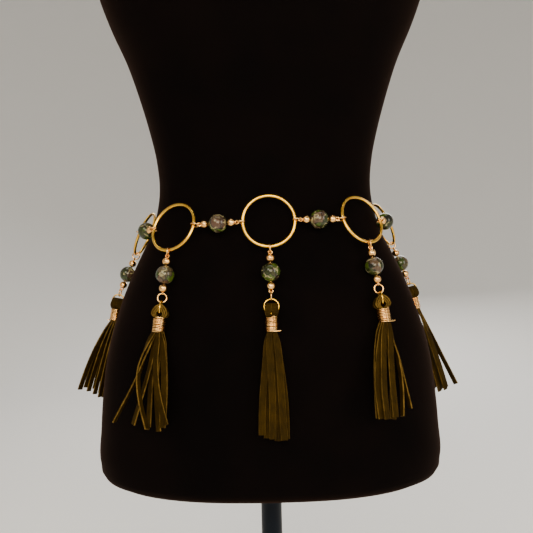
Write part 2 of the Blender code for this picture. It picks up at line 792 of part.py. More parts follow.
clear_scene()
BELT = new_collection("beaded_belt_on_form")
CUTTERS = new_collection("cutters")
MESHES = {
    "ring": shaded(torus("ring", RING_RADIUS, RING_WIRE, RING_SIDES, WIRE_SIDES)),
    "straight_pin": pin_mesh("straight_pin", "X"),
    "turned_pin": pin_mesh("turned_pin", "Y"),
    "jasper": jasper_mesh(),
    "tassel_ring": shaded(torus("tassel_ring", TASSEL_RING_RADIUS, TASSEL_RING_WIRE, 12, 4)),
    "wrap": wrap_mesh(),
}
build_form()
build_stand()
ring_ends, link_ends, closing_angles = chain_route()
downs = {}
for where in POSITIONS:
    ring_down = ring_frame(ring_ends[where], RING_LEAN[where])[3]
    downs[where] = ring_down
    foot, belt_way, out = build_ring(where, ring_ends[where], RING_LEAN[where])
    build_drop(where, foot, belt_way, out)
for where, ends in link_ends.items():
    build_link(where, ends, downs["right_3" if where == "back" else where])
closing_points = [belt_point(closing_angles[side]) for side in ("right", "left")]
build_closure(*closing_points, downs["right_3"])
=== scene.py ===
# %% [markdown]
# # A beaded chain belt on a dress form
# The belt is a chain of gold rings joined by jasper beads on wire pins. A beaded drop with an olive
# leather tassel hangs from the foot of each ring. It is worn round the hips of a black dress form on a
# round stand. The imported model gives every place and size, and each cell below makes one kind of piece
# finer than its solid. All lengths are in metres, so MM turns the maker's millimetres into them.

import json
from math import cos, pi, radians, sin

import bmesh
import bpy
import numpy as np
from mathutils import Matrix, Vector
from mathutils.bvhtree import BVHTree

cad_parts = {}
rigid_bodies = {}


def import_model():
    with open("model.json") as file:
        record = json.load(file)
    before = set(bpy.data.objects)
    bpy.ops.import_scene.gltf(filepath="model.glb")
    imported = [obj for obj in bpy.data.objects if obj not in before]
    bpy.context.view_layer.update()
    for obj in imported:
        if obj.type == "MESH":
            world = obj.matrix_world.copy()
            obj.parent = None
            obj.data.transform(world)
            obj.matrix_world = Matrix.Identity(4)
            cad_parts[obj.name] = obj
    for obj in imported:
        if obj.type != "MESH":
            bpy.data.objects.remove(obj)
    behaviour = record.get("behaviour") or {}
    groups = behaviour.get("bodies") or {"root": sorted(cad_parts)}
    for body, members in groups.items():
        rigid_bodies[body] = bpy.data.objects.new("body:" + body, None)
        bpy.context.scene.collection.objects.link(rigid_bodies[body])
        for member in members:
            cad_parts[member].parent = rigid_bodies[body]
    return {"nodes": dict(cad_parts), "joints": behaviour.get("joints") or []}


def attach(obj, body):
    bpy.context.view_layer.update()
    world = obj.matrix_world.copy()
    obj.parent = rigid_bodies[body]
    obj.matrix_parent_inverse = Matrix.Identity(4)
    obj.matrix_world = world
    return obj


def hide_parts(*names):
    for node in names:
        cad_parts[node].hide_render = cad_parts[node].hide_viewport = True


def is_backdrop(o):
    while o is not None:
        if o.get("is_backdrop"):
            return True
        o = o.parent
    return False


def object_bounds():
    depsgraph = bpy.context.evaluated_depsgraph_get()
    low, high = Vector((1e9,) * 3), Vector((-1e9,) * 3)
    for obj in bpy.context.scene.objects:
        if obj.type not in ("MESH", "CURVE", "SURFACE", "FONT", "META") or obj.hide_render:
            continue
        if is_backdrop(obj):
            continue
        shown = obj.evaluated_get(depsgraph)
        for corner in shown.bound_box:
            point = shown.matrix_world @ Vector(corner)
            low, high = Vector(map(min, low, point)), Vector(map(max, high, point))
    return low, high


for old in list(bpy.data.objects):
    bpy.data.objects.remove(old, do_unlink=True)
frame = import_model()
cad_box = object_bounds()
MM = 0.001


def show(thing):
    """Puts an object in the scene and gives it back."""
    bpy.context.scene.collection.objects.link(thing)
    return thing


# %% [markdown]
# ## Camera
# The photograph looks straight at the belt from a little over half a metre, at the height of the hips,
# with the camera turned by about one degree. The place could be found by eye, but a distance that brings
# rings, beads and the tips of the laces together is surer. A 36 mm lens on a 36 mm sensor gives the wide
# view.

# %% Camera
CAMERA_DISTANCE = 573 * MM
CAMERA_HEIGHT = 435 * MM
CAMERA_ROLL = 1.2
LENS = 36.0
SENSOR = 36.0

camera_data = bpy.data.cameras.new("camera")
camera_data.lens = LENS
camera_data.sensor_width = SENSOR
camera = show(bpy.data.objects.new("camera", camera_data))
camera.location = (0.0, -CAMERA_DISTANCE, CAMERA_HEIGHT)
camera.rotation_euler = (radians(90), radians(CAMERA_ROLL), 0.0)
bpy.context.scene.camera = camera
print("camera at", tuple(round(c, 3) for c in camera.location))

# %% [markdown]
# ## Places from the frame
# A ring's points lie evenly round its middle, so their mean is its centre. The joint that lets a drop
# swing gives the foot of its ring and the way along the belt. From these, and from the middles of the
# beads and of the tassel rings, each piece gets its own frame: X along the belt, Y towards the form, Z up.
# The places could also be typed in, but read from the solids they always agree with them.

# %% Read the places of rings, drops and links
POSITIONS = ("left_3", "left_2", "left_1", "front", "right_1", "right_2", "right_3")
LINK_RINGS = {
    "right_1": ("front", "right_1"),
    "right_2": ("right_1", "right_2"),
    "right_3": ("right_2", "right_3"),
    "left_1": ("front", "left_1"),
    "left_2": ("left_1", "left_2"),
    "left_3": ("left_2", "left_3"),
    "back": ("right_3", None),
}
PIN_LENGTH = 46.2 * MM
TASSEL_DROP = 47.1 * MM


def node_points(name):
    """The corners of a frame node, each once."""
    corners = np.array([v.co for v in frame["nodes"][name].data.vertices])
    return np.unique(corners.round(6), axis=0)


def middle_of(name):
    return Vector(node_points(name).mean(axis=0))


def axes_frame(x_axis, y_axis, z_axis, origin):
    matrix = Matrix((x_axis, y_axis, z_axis)).transposed().to_4x4()
    matrix.translation = origin
    return matrix


def hanging_frame(along, down, origin):
    front = (-down).cross(along).normalized()
    side = front.cross(-down).normalized()
    return axes_frame(side, front, -down, origin)


joints = {joint["child"]: joint for joint in frame["joints"]}
places = {}
for where in POSITIONS:
    joint = joints[f"drop_{where}"]
    foot = Vector(joint["pos_m"])
    along = -Vector(joint["axis"]).normalized()
    centre = middle_of(f"ring_{where}")
    down = (foot - centre).normalized()
    pin_down = (middle_of(f"drop_jasper_{where}") - foot).normalized()
    tassel_centre = middle_of(f"tassel_ring_{where}")
    tassel_down = (tassel_centre - (foot + TASSEL_DROP * pin_down)).normalized()
    places[where] = {
        "ring": axes_frame(along, -down, along.cross(-down).normalized(), centre),
        "radius": (foot - centre).length,
        "down": down,
        "pin": hanging_frame(along, pin_down, foot),
        "tassel": hanging_frame(along, tassel_down, tassel_centre),
    }
links = {}
for name, (start, end) in LINK_RINGS.items():
    corners = node_points(f"link_pin_{name}")
    run = Vector(np.linalg.svd(corners - corners.mean(axis=0))[2][0])
    bead = middle_of(f"link_jasper_{name}")
    if run.dot(bead - places[start]["ring"].translation) < 0:
        run = -run
    links[name] = {
        "run": run,
        "start": bead - run * PIN_LENGTH / 2,
        "bead": bead,
        "downs": (places[start]["down"], places[end or start]["down"]),
    }
print("ring radius mm:", round(places["front"]["radius"] / MM, 2))

# %% [markdown]
# ## Making skins
# Wires and laces are all swept: an outline is carried along a path. Beads and the stand are turned round
# Z. Blender's curves and its Screw modifier do both, but points and faces made here let each face have its
# own finish. One class gathers the skins of a piece, so that a wire, its eyes and its beads can be one
# mesh.

# %% Sweeps, turned skins and pieces
class Skins:
    """The closed skins of one piece, each face with the number of its finish."""

    def __init__(self):
        self.points = []
        self.faces = []
        self.finishes = []

    def add(self, points, faces, finish=0, strips=None):
        """Adds a skin. `strips` gives other finishes to the faces of chosen sides of a sweep."""
        base = len(self.points)
        self.points.extend(tuple(point) for point in points)
        for side, face in faces:
            self.faces.append([base + corner for corner in face])
            self.finishes.append((strips or {}).get(side, finish))
        return self

    def place(self, name, finishes, matrix, body, slot, replaces=(), sharp=40):
        """Makes the mesh. Edges that turn by more than `sharp` degrees stay crisp."""
        mesh = bpy.data.meshes.new(name)
        mesh.from_pydata(self.points, [], self.faces)
        mesh.polygons.foreach_set("material_index", self.finishes)
        for finish in finishes:
            mesh.materials.append(finish)
        work = bmesh.new()
        work.from_mesh(mesh)
        bmesh.ops.recalc_face_normals(work, faces=work.faces)
        work.to_mesh(mesh)
        work.free()
        mesh.shade_smooth()
        mesh.set_sharp_from_angle(angle=radians(sharp))
        piece = show(bpy.data.objects.new(name, mesh))
        piece.matrix_world = matrix
        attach(piece, body)
        if replaces:
            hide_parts(*replaces)
        return piece


def circle(radius, sides):
    turn = np.arange(sides) * 2 * pi / sides
    return np.column_stack((radius * np.cos(turn), radius * np.sin(turn)))


def sweep(path, across, outline, closed=False, widths=1.0):
    """An outline carried along a path. `across` is the way of the outline's first axis."""
    path = np.asarray(path, float)
    if closed:
        tangents = np.roll(path, -1, axis=0) - np.roll(path, 1, axis=0)
    else:
        tangents = np.gradient(path, axis=0)
    tangents /= np.linalg.norm(tangents, axis=1)[:, None]
    across = np.broadcast_to(np.asarray(across, float), path.shape)
    across = across - (across * tangents).sum(axis=1)[:, None] * tangents
    across = across / np.linalg.norm(across, axis=1)[:, None]
    deep = np.cross(tangents, across)
    outline = np.asarray(outline, float)
    widths = np.broadcast_to(np.asarray(widths, float), (len(path),))[:, None, None]
    points = (
        path[:, None, :]
        + widths * outline[None, :, :1] * across[:, None, :]
        + outline[None, :, 1:] * deep[:, None, :]
    )
    sides, steps = len(outline), len(path)
    faces = []
    for i in range(steps if closed else steps - 1):
        here, there = i * sides, (i + 1) % steps * sides
        for j in range(sides):
            k = (j + 1) % sides
            faces.append((j, (here + j, here + k, there + k, there + j)))
    if not closed:
        faces.append(("end", tuple(range(sides))[::-1]))
        faces.append(("end", tuple((steps - 1) * sides + j for j in range(sides))))
    return points.reshape(-1, 3), faces


def turned(profile, sides, closed=False):
    """A skin of revolution about Z from (radius, height) points."""
    turn = np.arange(sides) * 2 * pi / sides
    points = [(r * cos(a), r * sin(a), z) for r, z in profile for a in turn]
    faces = []
    rows = len(profile)
    for i in range(rows if closed else rows - 1):
        here, there = i * sides, (i + 1) % rows * sides
        for j in range(sides):
            k = (j + 1) % sides
            faces.append((i, (here + j, there + j, there + k, here + k)))
    if not closed:
        faces.append(("end", tuple(range(sides))))
        faces.append(("end", tuple((rows - 1) * sides + j for j in range(sides))[::-1]))
    return points, faces


def moved(skin, matrix):
    points, faces = skin
    return [tuple(matrix @ Vector(point)) for point in points], faces


def smooth_path(points, steps):
    """A smooth curve through a few points, with so many steps from each to the next."""
    points = np.asarray(points, float)
    ends = np.vstack((2 * points[0] - points[1], points, 2 * points[-1] - points[-2]))
    path = []
    for i in range(1, len(ends) - 2):
        before, start, end, after = ends[i - 1 : i + 3]
        for t in np.arange(steps) / steps:
            path.append(
                start
                + 0.5 * t * (end - before)
                + t**2 * (before - 2.5 * start + 2 * end - 0.5 * after)
                + t**3 * (1.5 * (start - end) + 0.5 * (after - before))
            )
    path.append(points[-1])
    return np.array(path)


def ring_skin(radius, wire, normal, middle, sides=40, wire_sides=10):
    """A closed wire ring about `normal`, with its middle at a given point."""
    normal = Vector(normal).normalized()
    first = normal.orthogonal().normalized()
    second = normal.cross(first)
    turn = [2 * pi * i / sides for i in range(sides)]
    path = [Vector(middle) + radius * (cos(a) * first + sin(a) * second) for a in turn]
    return sweep(path, tuple(normal), circle(wire, wire_sides), closed=True)


print("sweep and turn are ready")

# %% [markdown]
# ## Shader values
# A finish is a node tree on the Principled shader. It could be drawn in the shader editor, but a script
# keeps it with the piece. Written node by node it is long to read, so a small class wraps one socket and
# makes sums and products of it as Math nodes. All other nodes come from one method.

# %% Shader helpers
class Value:
    """One output of a node. Arithmetic on it adds Math nodes to the same tree."""

    def __init__(self, finish, socket):
        self.finish = finish
        self.socket = socket

    def math(self, operation, *values):
        return self.finish.node("ShaderNodeMath", {"operation": operation}, dict(enumerate(values)))

    def __add__(self, other):
        return self.math("ADD", self, other)

    def __radd__(self, other):
        return self.math("ADD", other, self)

    def __sub__(self, other):
        return self.math("SUBTRACT", self, other)

    def __rsub__(self, other):
        return self.math("SUBTRACT", other, self)

    def __mul__(self, other):
        return self.math("MULTIPLY", self, other)

    def __rmul__(self, other):
        return self.math("MULTIPLY", other, self)

    def between(self, low, high):
        """0 below the low value, 1 above the high one, and a smooth step from one to the other."""
        settings = {"interpolation_type": "SMOOTHSTEP"}
        values = {"Value": self, "From Min": low, "From Max": high}
        return self.finish.node("ShaderNodeMapRange", settings, values)


class Finish:
    """A material on the Principled shader. Constants go to its sockets, and values are linked."""

    def __init__(self, name, sockets):
        self.material = bpy.data.materials.new(name)
        self.material.use_nodes = True
        self.tree = self.material.node_tree
        self.shader = self.tree.nodes["Principled BSDF"]
        for socket, value in sockets.items():
            self.feed(self.shader.inputs[socket], value)

    def feed(self, socket, value):
        if isinstance(value, Value):
            self.tree.links.new(value.socket, socket)
        else:
            socket.default_value = value

    def node(self, kind, settings=None, values=None, output=0):
        """Any node: its settings first, then the values or links of its sockets."""
        made = self.tree.nodes.new(kind)
        for name, setting in (settings or {}).items():
            if name == "stops":
                ramp = made.color_ramp
                while len(ramp.elements) < len(setting):
                    ramp.elements.new(0.5)
                for element, (position, colour) in zip(ramp.elements, setting):
                    element.position = position
                    element.color = colour
            else:
                setattr(made, name, setting)
        for socket, value in (values or {}).items():
            self.feed(made.inputs[socket], value)
        return Value(self, made.outputs[output])

    def set(self, socket, value):
        self.feed(self.shader.inputs[socket], value)

    def object_place(self):
        return self.node("ShaderNodeTexCoord", output="Object")

    def stretched(self, place, scale):
        return self.node("ShaderNodeMapping", None, {"Vector": place, "Scale": scale})

    def noise(self, place, scale, detail=3.0, roughness=0.55, output=0):
        values = {"Vector": place, "Scale": scale, "Detail": detail, "Roughness": roughness}
        return self.node("ShaderNodeTexNoise", None, values, output)

    def mix(self, factor, first, second):
        """A colour between two. The Mix node's colours are its inputs 6 and 7, and its output 2."""
        return self.node("ShaderNodeMix", {"data_type": "RGBA"}, {0: factor, 6: first, 7: second}, 2)

    def ramp(self, value, stops):
        return self.node("ShaderNodeValToRGB", {"stops": stops}, {"Fac": value})

    def bump(self, height, strength, distance):
        values = {"Height": height, "Strength": strength, "Distance": distance}
        self.set("Normal", self.node("ShaderNodeBump", None, values))


print("shader helpers are ready")

# %% [markdown]
# ## Gold
# The rings are plated in a bright yellow gold, and the small beads and wires in a pinker one. One metal
# colour would do, because a metal's colour is all in its reflection, but it looks like plastic close up.
# Handling leaves plate slightly uneven, so a soft noise moves the colour and the roughness, and fine
# scratches run through it.

# %% Gold finishes
def gold_finish(name, light, deep, polish):
    finish = Finish(name, {"Metallic": 1.0})
    place = finish.object_place()
    cloud = finish.noise(place, 140.0, 2.0).between(0.35, 0.7)
    scratch = finish.noise(finish.stretched(place, (900.0, 900.0, 5200.0)), 1.0, 2.0).between(0.3, 0.8)
    finish.set("Base Color", finish.mix(cloud, light, deep))
    finish.set("Roughness", scratch * 0.10 + cloud * 0.08 + polish)
    finish.bump(scratch, 0.12, 0.00008)
    return finish.material


ring_gold = gold_finish("Ring gold", (0.94, 0.57, 0.07, 1), (0.84, 0.42, 0.035, 1), 0.17)
bead_gold = gold_finish("Bead gold", (0.98, 0.60, 0.22, 1), (0.90, 0.45, 0.13, 1), 0.13)
print("gold finishes:", ring_gold.name, "and", bead_gold.name)

# %% [markdown]
# ## Jasper
# The stone is dark olive green with patches of mauve brown and black, cut through by pale cream veins. A
# flat pattern wrapped round a ball pinches at its poles, so this one fills space. Cells that are bent by
# noise give the patches, and the borders of larger cells give the veins. Each bead is another cut of the
# stone, so its points carry a place in the stone of their own.

# %% Jasper finish
PATCH_SCALE = 0.12
VEIN_SCALE = 0.10
jasper = Finish("Jasper", {"Specular IOR Level": 0.35})
stone = jasper.node("ShaderNodeAttribute", {"attribute_name": "stone"}, output="Vector")
bend = jasper.noise(stone, 0.20, 2.0, output="Color")
bend = jasper.node("ShaderNodeVectorMath", {"operation": "SCALE"}, {0: bend, "Scale": 7.0})
bent = jasper.node("ShaderNodeVectorMath", {"operation": "ADD"}, {0: stone, 1: bend})
cells = jasper.node("ShaderNodeTexVoronoi", None, {"Vector": bent, "Scale": PATCH_SCALE}, "Color")
patch = jasper.ramp(
    jasper.node("ShaderNodeSeparateColor", None, {"Color": cells}),
    (
        (0.0, (0.026, 0.042, 0.006, 1)),
        (0.20, (0.052, 0.082, 0.009, 1)),
        (0.36, (0.006, 0.006, 0.003, 1)),
        (0.50, (0.030, 0.040, 0.008, 1)),
        (0.64, (0.085, 0.046, 0.030, 1)),
        (0.84, (0.075, 0.070, 0.034, 1)),
        (0.90, (0.050, 0.028, 0.018, 1)),
    ),
)
grain = jasper.noise(stone, 1.6, 4.0, 0.65)
mottled = jasper.mix(grain.between(0.45, 0.75) * 0.7, patch, (0.012, 0.012, 0.006, 1))
edges = {"feature": "DISTANCE_TO_EDGE"}
seam = jasper.node("ShaderNodeTexVoronoi", edges, {"Vector": bent, "Scale": PATCH_SCALE}, "Distance")
seamed = jasper.mix((1 - seam.between(0.02, 0.09)) * 0.8, mottled, (0.008, 0.007, 0.004, 1))
border = jasper.node("ShaderNodeTexVoronoi", edges, {"Vector": bent, "Scale": VEIN_SCALE}, "Distance")
shown = jasper.noise(stone, 0.17, 1.0).between(0.48, 0.58)
vein = (1 - border.between(0.015, 0.065)) * shown
jasper.set("Base Color", jasper.mix(vein, seamed, (0.26, 0.23, 0.12, 1)))
jasper.set("Roughness", grain * 0.10 + vein * 0.08 + 0.08)
jasper.bump(vein * 0.6 + grain * 0.4, 0.15, 0.0001)


def stamp_stone(piece, seed):
    """Gives each point of a bead its place in the stone, in millimetres."""
    random = np.random.default_rng(seed)
    turn = Matrix.Rotation(random.uniform(0, 2 * pi), 3, Vector(random.normal(size=3)).normalized())
    shift = Vector(random.uniform(-400, 400, size=3))
    stamp = piece.data.attributes.new("stone", "FLOAT_VECTOR", "POINT")
    for entry, vertex in zip(stamp.data, piece.data.vertices):
        entry.vector = turn @ (vertex.co / MM) + shift


print("jasper nodes:", len(jasper.tree.nodes))

# %% [markdown]
# ## Leather
# The laces are dark olive leather like suede, with lighter tan where the knife cut their edges. The face
# has a soft nap that runs down the lace, so its noise is stretched along Z. The tan edge could be painted
# as a thin line, but a lace's edge has faces of its own, so a second finish on them is exact.

# %% Leather finishes
def leather_finish(name, dark, light, rough):
    finish = Finish(name, {"Specular IOR Level": 0.05})
    place = finish.object_place()
    nap = finish.noise(finish.stretched(place, (1500.0, 1500.0, 160.0)), 1.0, 4.0, 0.6)
    wear = finish.noise(place, 90.0, 3.0)
    grain = finish.noise(place, 2600.0, 2.0)
    tone = nap.between(0.3, 0.7) * 0.55 + wear.between(0.35, 0.7) * 0.45
    finish.set("Base Color", finish.mix(tone, dark, light))
    finish.set("Roughness", grain * 0.15 + (rough - 0.07))
    finish.bump(nap * 0.6 + grain * 0.4, 0.4, 0.0002)
    return finish.material


leather = leather_finish("Olive leather", (0.010, 0.0052, 0.0, 1), (0.032, 0.0170, 0.0001, 1), 0.72)
cut_edge = leather_finish("Cut leather edge", (0.020, 0.011, 0.0006, 1), (0.150, 0.088, 0.018, 1), 0.8)
print("leather finishes:", leather.name, "and", cut_edge.name)

# %% [markdown]
# ## Black cover and stand metal
# The form is covered in a matte black jersey that gives back almost no light, except for a faint brown
# sheen where it turns away. Its stitches show only close up, so waves in the bump take the place of
# modelled thread. The stand is satin black metal, with a fine speck in the paint and a few rubbed places.

# %% Cover and stand finishes
cover_sockets = {
    "Specular IOR Level": 0.03,
    "Sheen Weight": 0.04,
    "Sheen Roughness": 0.4,
    "Sheen Tint": (0.7, 0.32, 0.18, 1),
}
cover = Finish("Black jersey", cover_sockets)
place = cover.object_place()
rise = cover.node("ShaderNodeSeparateXYZ", None, {"Vector": place}, "Z")
courses = cover.node("ShaderNodeMath", {"operation": "SINE"}, {0: rise * 4200.0})
wales = cover.node("ShaderNodeTexWave", {"bands_direction": "X"}, {"Vector": place, "Scale": 210.0}, "Fac")
fuzz = cover.noise(place, 900.0, 3.0)
shade = cover.noise(place, 14.0, 3.0).between(0.3, 0.7)
cover.set("Base Color", cover.mix(shade, (0.0010, 0.0006, 0.0007, 1), (0.0019, 0.0010, 0.0010, 1)))
cover.set("Roughness", fuzz * 0.12 + 0.82)
cover.bump(courses * 0.25 + wales * 0.25 + fuzz * 0.5, 0.22, 0.0002)
black_jersey = cover.material

stand_paint = Finish("Black stand metal", {"Specular IOR Level": 0.12})
place = stand_paint.object_place()
speck = stand_paint.noise(place, 1400.0, 2.0)
rub = stand_paint.noise(place, 22.0, 3.0).between(0.4, 0.75)
stand_paint.set("Base Color", stand_paint.mix(rub, (0.0015, 0.0030, 0.0065, 1), (0.0030, 0.0055, 0.0110, 1)))
stand_paint.set("Roughness", speck * 0.10 + rub * 0.08 + 0.36)
stand_paint.bump(speck, 0.15, 0.0001)
black_metal = stand_paint.material
print("cover nodes:", len(cover.tree.nodes))

# %% [markdown]
# ## Dress form
# The form is a padded shell with a cover drawn tight. A subdivided mesh would shrink away from the solid,
# so the skin is made from the solid's own level sections. Smooth curves through their points, round the
# form and then up it, give a finer skin of the same size. It is also what the tassels lie against.

# %% Dress form
ROOT = "form_and_chain"
ROUND_STEPS = 5
ROW_HEIGHT = 6 * MM
LEVEL_TOLERANCE = 0.2 * MM


def section_rows():
    """The sections' points, from the front round to the viewer's right, lowest section first."""
    corners = node_points("dress_form")
    levels = np.unique(corners[:, 2].round(4))
    rows = []
    for level in levels:
        row = corners[abs(corners[:, 2] - level) < LEVEL_TOLERANCE]
        heading = np.arctan2(row[:, 0] - row[:, 0].mean(), -(row[:, 1] - row[:, 1].mean()))
        rows.append(row[np.argsort(heading.round(5) % (2 * pi))])
    return rows


def closed_curve(row, steps):
    """A closed smooth curve through a row of points."""
    looped = np.vstack((row[-2:], row, row[:2]))
    return smooth_path(looped, steps)[2 * steps : (len(row) + 2) * steps]


sections = np.array([closed_curve(row, ROUND_STEPS) for row in section_rows()])
heights = sections[:, 0, 2]
slopes = np.gradient(sections, heights, axis=0)
form_loops = []
for a, b, slope_a, slope_b in zip(sections, sections[1:], slopes, slopes[1:]):
    span = b[0, 2] - a[0, 2]
    for t in np.arange(0, 1, 1 / max(1, round(span / ROW_HEIGHT))):
        form_loops.append(
            (2 * t**3 - 3 * t**2 + 1) * a
            + (t**3 - 2 * t**2 + t) * span * slope_a
            + (3 * t**2 - 2 * t**3) * b
            + (t**3 - t**2) * span * slope_b
        )
form_loops.append(sections[-1])
count = sections.shape[1]
form_points = np.concatenate(form_loops)
form_faces = []
for i in range(len(form_loops) - 1):
    for j in range(count):
        k = (j + 1) % count
        form_faces.append((0, (i * count + j, i * count + k, (i + 1) * count + k, (i + 1) * count + j)))
form_faces.append((0, tuple(range(count))[::-1]))
form_faces.append((0, tuple(len(form_points) - count + j for j in range(count))))
Skins().add(form_points, form_faces).place(
    "form_cover", [black_jersey], Matrix(), ROOT, "black_jersey", ["dress_form"], 50
)
form_tree = BVHTree.FromPolygons([tuple(p) for p in form_points], [face for _, face in form_faces])
print("form rows:", len(form_loops), "points round:", count)

# %% [markdown]
# ## Stand
# A round weighted base, a pole and a flange under the form. Three cylinders would do, but their seams
# would show. The solid's outline is read back as radius and height and turned with more sides, as on a
# lathe, and a bevel rounds the edges.

# %% Stand
STAND_SIDES = 96
corners = node_points("stand")
outline = {(round(float(np.hypot(x, y)), 4), round(float(z), 4)) for x, y, z in corners}
outline = sorted((pair for pair in outline if pair[0] > MM), key=lambda pair: (-pair[1], pair[0]))
stand = Skins().add(*turned(outline, STAND_SIDES)).place(
    "stand_body", [black_metal], Matrix(), ROOT, "stand_metal", ["stand"], 30
)
bevel = stand.modifiers.new("Edges", "BEVEL")
bevel.width = 1.2 * MM
bevel.segments = 3
bevel.angle_limit = radians(25)
print("stand outline points:", len(outline))

# %% [markdown]
# ## Rings
# Each ring is a thick wire bent round, with its ends butted and brazed. Blender's torus would be perfectly
# round, and a real ring isn't, so a wire is swept along a circle that wanders by a twentieth of a
# millimetre. Many sides keep the highlight clean.

# %% Rings
RING_WIRE = 1.5 * MM
RING_SIDES = 144
RING_WIRE_SIDES = 20
RING_WANDER = 0.05 * MM
RING_WAVES = 3
for number, where in enumerate(POSITIONS):
    radius = places[where]["radius"]
    turn = np.arange(RING_SIDES) * 2 * pi / RING_SIDES
    path = np.column_stack((radius * np.cos(turn), radius * np.sin(turn), 0 * turn))
    path += RING_WANDER * np.sin(RING_WAVES * turn + number)[:, None] * path / radius
    skin = sweep(path, (0, 0, 1), circle(RING_WIRE, RING_WIRE_SIDES), closed=True)
    Skins().add(*skin).place(
        f"gold_ring_{where}", [ring_gold], places[where]["ring"], ROOT, "gold_wire", [f"ring_{where}"]
    )
print("rings:", len(POSITIONS))

# %% [markdown]
# ## Beads on their pins
# A pin is a thin wire through a small gold bead, the jasper and another gold bead, turned into an eye at
# both ends. A round jump ring joins each eye to what it holds. One larger loop could stand for both, as
# the solid has it, but up close the small links are what makes it jewellery. Eye and jump ring lie across
# each other, as the links of a chain do.

# %% Pins, beads and jump rings
JASPER_RADIUS = 8.5 * MM
GOLD_RADIUS = 3.9 * MM
GOLD_OFFSET = 12.5 * MM
PIN_WIRE = 0.5 * MM
EYE_RADIUS = 1.6 * MM
JUMP_WIRE = 0.66 * MM
UPPER_JUMP = 3.65 * MM
LOWER_JUMP = 4.1 * MM
TASSEL_WIRE = 0.68 * MM
TOUCH = 0.1 * MM
BORE = 0.95 * MM
GOLD_BORE = 1.4 * PIN_WIRE
GOLD_FLATNESS = 0.97
DIMPLE = 0.25 * MM
EYE_SIDES = 28
PIN_SIDES = 8
# Points down a bead's outline and sides round it
GOLD_DETAIL = (22, 32)
JASPER_DETAIL = (40, 56)
# The seeds of the stone's cuts, one above the other for each bead
DROP_SEED = 210
LINK_SEED = 40


def ball_profile(radius, bore, points, flat=1.0):
    """A bored ball's closed outline, with a soft dimple where the bore comes out."""
    reach = np.arccos((bore + DIMPLE) / radius)
    outer = [(radius * cos(a), flat * radius * sin(a)) for a in np.linspace(reach, -reach, points)]
    mouth = outer[0][1] - DIMPLE
    return [(bore, mouth)] + outer + [(bore, -mouth)]


def turned_to(way):
    return way.to_track_quat("Z", "Y").to_matrix().to_4x4()


def joined_end(skins, wire_place, way, wire_axis, held_wire, jump):
    """A jump ring round a wire and the pin's eye in it. `way` leads from the wire to the bead."""
    jump_middle = wire_place + way * (jump - held_wire - JUMP_WIRE - TOUCH)
    skins.add(*ring_skin(jump, JUMP_WIRE, wire_axis, jump_middle))
    far = jump_middle + way * (jump - JUMP_WIRE - PIN_WIRE - TOUCH + EYE_RADIUS)
    skins.add(*ring_skin(EYE_RADIUS, PIN_WIRE, way.cross(Vector(wire_axis)), far, EYE_SIDES, PIN_SIDES))
    return far + way * EYE_RADIUS * 0.6


def pin_with_beads(name, way, bead, end_holds, body, replaces):
    """Gold beads, wire and both joined ends of one pin, in world places."""
    skins = Skins()
    points, sides = GOLD_DETAIL
    ball = turned(ball_profile(GOLD_RADIUS, GOLD_BORE, points, GOLD_FLATNESS), sides, closed=True)
    for offset in (-GOLD_OFFSET, GOLD_OFFSET):
        skins.add(*moved(ball, Matrix.Translation(bead + way * offset) @ turned_to(way)))
    top, bottom = (joined_end(skins, *hold) for hold in end_holds)
    first = way.orthogonal().normalized()
    skins.add(*sweep([tuple(top), tuple(bead), tuple(bottom)], tuple(first), circle(PIN_WIRE, PIN_SIDES)))
    return skins.place(name, [bead_gold], Matrix(), body, "bead_gold", replaces)


def jasper_bead(name, way, middle, body, replaces, seed):
    """A bored stone bead, with its own cut of the stone."""
    points, sides = JASPER_DETAIL
    ball = turned(ball_profile(JASPER_RADIUS, BORE, points), sides, closed=True)
    matrix = Matrix.Translation(middle) @ turned_to(way)
    piece = Skins().add(*ball).place(name, [jasper.material], matrix, body, "jasper", replaces)
    stamp_stone(piece, seed)


# The drops whose small ring hangs edge on, and how far two of these have swivelled (degrees)
TURNED_DROPS = ("left_1", "right_1", "left_2", "right_2", "left_3", "right_3")
SWIVEL = {"left_1": 30, "right_1": -30}


def swivel(where):
    return Matrix.Rotation(radians(SWIVEL.get(where, 0)), 3, "Z")


for seed, where in enumerate(POSITIONS):
    pin = places[where]["pin"]
    up = pin.to_3x3().col[2].copy()
    upper_axis = pin.to_3x3() @ swivel(where) @ Vector((1, 0, 0))
    lower_axis = Vector((0, 1, 0)) if where in TURNED_DROPS else Vector((1, 0, 0))
    lower_axis = places[where]["tassel"].to_3x3() @ swivel(where) @ lower_axis
    start = pin.translation.copy()
    bead = start - up * PIN_LENGTH / 2
    ring_top = start - up * TASSEL_DROP
    body = f"drop_{where}"
    holds = (
        (start, -up, upper_axis, RING_WIRE, UPPER_JUMP),
        (ring_top, up, lower_axis, TASSEL_WIRE, LOWER_JUMP),
    )
    pin_with_beads(f"drop_wire_{where}", -up, bead, holds, body, [f"drop_pin_{where}"])
    jasper_bead(f"drop_stone_{where}", -up, bead, body, [f"drop_jasper_{where}"], DROP_SEED + seed)
for seed, (name, link) in enumerate(links.items()):
    run, start, bead = link["run"], link["start"], link["bead"]
    end = start + run * PIN_LENGTH
    holds = (
        (start, run, link["downs"][0], RING_WIRE, UPPER_JUMP),
        (end, -run, link["downs"][1], RING_WIRE if name != "back" else TASSEL_WIRE, UPPER_JUMP),
    )
    pin_with_beads(f"link_wire_{name}", run, bead, holds, ROOT, [f"link_pin_{name}"])
    jasper_bead(f"link_stone_{name}", run, bead, ROOT, [f"link_jasper_{name}"], LINK_SEED + seed)
print("pins:", len(POSITIONS) + len(links))

